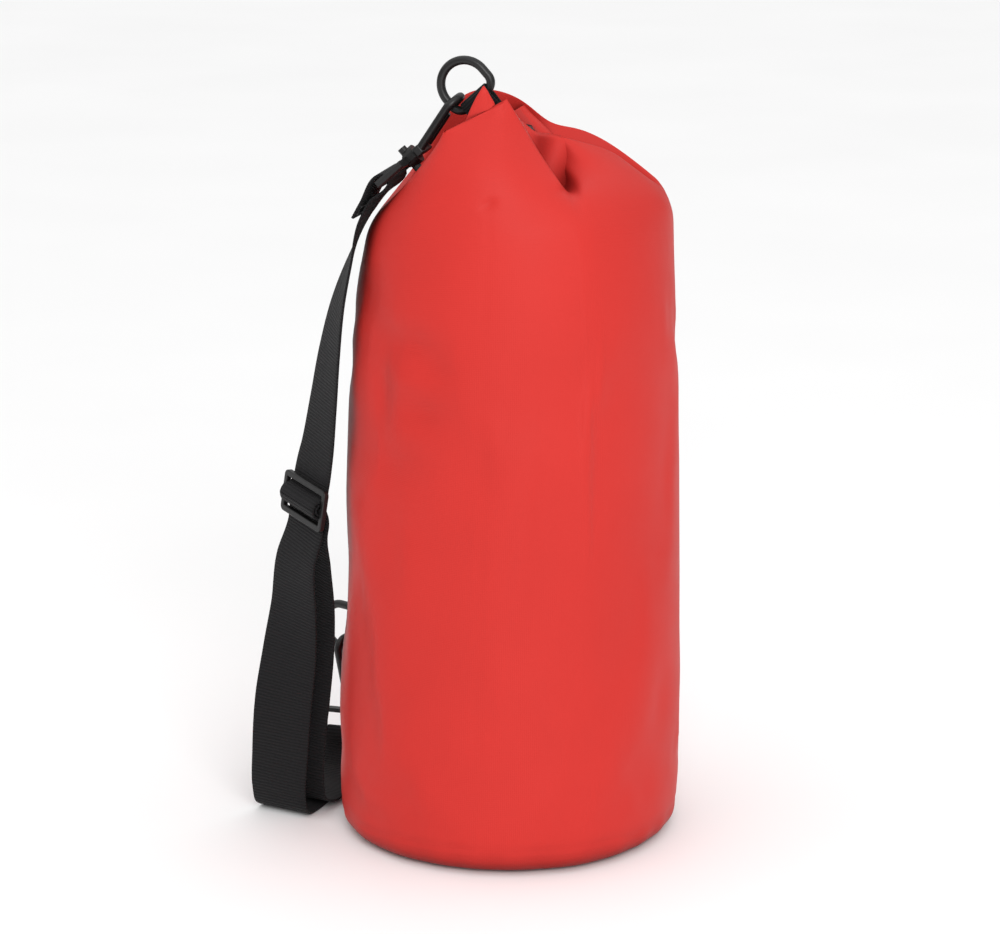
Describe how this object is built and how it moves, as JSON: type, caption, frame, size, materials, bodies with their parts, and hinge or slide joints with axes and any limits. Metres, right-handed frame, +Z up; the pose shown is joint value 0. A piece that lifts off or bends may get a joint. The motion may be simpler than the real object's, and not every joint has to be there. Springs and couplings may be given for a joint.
{
  "type": "roll-top dry bag",
  "caption": "Soft round dry bag with a rolled, buckled top bent into a carrying loop, a ring and swivel hook at each end of its adjustable shoulder strap.",
  "frame": {"origin": "centre of the base on the floor", "axes": "+Z up along the bag, -Y towards the near end of the rolled closure, -X towards the shoulder strap"},
  "size_m": [0.2735, 0.2219, 0.496],
  "materials": {
    "body_tube": "matt coated fabric",
    "base_disc": "matt coated fabric",
    "back_seam_tape": "matt coated fabric",
    "rolled_closure": "matt coated fabric",
    "lower_patch": "matt coated fabric",
    "buckle_tab_near": "woven webbing",
    "buckle_tab_far": "woven webbing",
    "upper_ring_tab": "woven webbing",
    "lower_ring_tab": "woven webbing",
    "shoulder_strap": "woven webbing",
    "buckle_socket": "satin moulded",
    "buckle_plug": "satin moulded",
    "buckle_prong_left": "satin moulded",
    "buckle_prong_right": "satin moulded",
    "upper_d_ring": "satin moulded",
    "upper_hook_body": "satin moulded",
    "upper_hook_gate": "satin moulded",
    "upper_swivel_base": "satin moulded",
    "lower_d_ring": "satin moulded",
    "lower_hook_body": "satin moulded",
    "lower_hook_gate": "satin moulded",
    "lower_swivel_base": "satin moulded",
    "strap_slider": "satin moulded",
    "hem_stiffener_front": "plain",
    "hem_stiffener_back": "plain"
  },
  "bodies": {
    "bag": {"back_seam_tape": "back_seam_tape", "base_disc": "base_disc", "body_tube": "body_tube", "buckle_plug": "buckle_plug", "buckle_socket": "buckle_socket", "buckle_tab_far": "buckle_tab_far", "buckle_tab_near": "buckle_tab_near", "hem_stiffener_back": "hem_stiffener_back", "hem_stiffener_front": "hem_stiffener_front", "lower_patch": "lower_patch", "lower_ring_tab": "lower_ring_tab", "lower_swivel_base": "lower_swivel_base", "rolled_closure": "rolled_closure", "shoulder_strap": "shoulder_strap", "upper_ring_tab": "upper_ring_tab", "upper_swivel_base": "upper_swivel_base"},
    "upper_d_ring": {"upper_d_ring": "upper_d_ring"},
    "upper_hook_body": {"upper_hook_body": "upper_hook_body"},
    "upper_hook_gate": {"upper_hook_gate": "upper_hook_gate"},
    "lower_d_ring": {"lower_d_ring": "lower_d_ring"},
    "lower_hook_body": {"lower_hook_body": "lower_hook_body"},
    "lower_hook_gate": {"lower_hook_gate": "lower_hook_gate"},
    "buckle_prong_left": {"buckle_prong_left": "buckle_prong_left"},
    "buckle_prong_right": {"buckle_prong_right": "buckle_prong_right"},
    "strap_slider": {"strap_slider": "strap_slider"}
  },
  "joints": [
    {"name": "upper_ring_swing", "type": "hinge", "parent": "bag", "child": "upper_d_ring", "pos_m": [-0.0095, -0.038, 0.47], "axis": [0.7431, 0, 0.6691], "range_deg": [-70, 8]},
    {"name": "upper_hook_swivel", "type": "hinge", "parent": "bag", "child": "upper_hook_body", "pos_m": [-0.0095, -0.038, 0.47], "axis": [0.7431, 0, 0.6691], "range_deg": [-70, 8]},
    {"name": "upper_gate_press", "type": "hinge", "parent": "upper_hook_body", "child": "upper_hook_gate", "pos_m": [-0.04146, -0.0304, 0.44123], "axis": [0.6691, 0, -0.7431], "range_deg": [0, 20], "stiffness_Nm_per_rad": 0.02, "springref_deg": -2.86},
    {"name": "lower_ring_swing", "type": "hinge", "parent": "bag", "child": "lower_d_ring", "pos_m": [-0.12, 0.062, 0.098], "axis": [0, 0, 1], "range_deg": [-45, 45]},
    {"name": "lower_hook_swivel", "type": "hinge", "parent": "bag", "child": "lower_hook_body", "pos_m": [-0.12, 0.062, 0.098], "axis": [0, 0, 1], "range_deg": [-45, 45]},
    {"name": "lower_gate_press", "type": "hinge", "parent": "lower_hook_body", "child": "lower_hook_gate", "pos_m": [-0.11651, 0.06875, 0.055], "axis": [0.8883, -0.4592, 0], "range_deg": [0, 20], "stiffness_Nm_per_rad": 0.02, "springref_deg": -2.86},
    {"name": "buckle_prong_right_squeeze", "type": "hinge", "parent": "bag", "child": "buckle_prong_right", "pos_m": [0.00567, 0.0133, 0.44077], "axis": [0.5736, 0, -0.8192], "range_deg": [0, 7], "stiffness_Nm_per_rad": 0.05, "springref_deg": -2.86},
    {"name": "buckle_prong_left_squeeze", "type": "hinge", "parent": "bag", "child": "buckle_prong_left", "pos_m": [-0.01367, 0.0133, 0.42723], "axis": [0.5736, 0, -0.8192], "range_deg": [-7, 0], "stiffness_Nm_per_rad": 0.05, "springref_deg": 2.86},
    {"name": "slider_slide", "type": "slide", "parent": "bag", "child": "strap_slider", "axis": [0.15, 0, 0.9887], "range_m": [-0.03, 0.03], "deforming": ["shoulder_strap"]}
  ],
  "couplings": [
    {"joint": "upper_hook_swivel", "follows": "upper_ring_swing", "ratio": 1},
    {"joint": "lower_hook_swivel", "follows": "lower_ring_swing", "ratio": 1},
    {"joint": "buckle_prong_left_squeeze", "follows": "buckle_prong_right_squeeze", "ratio": -1}
  ]
}
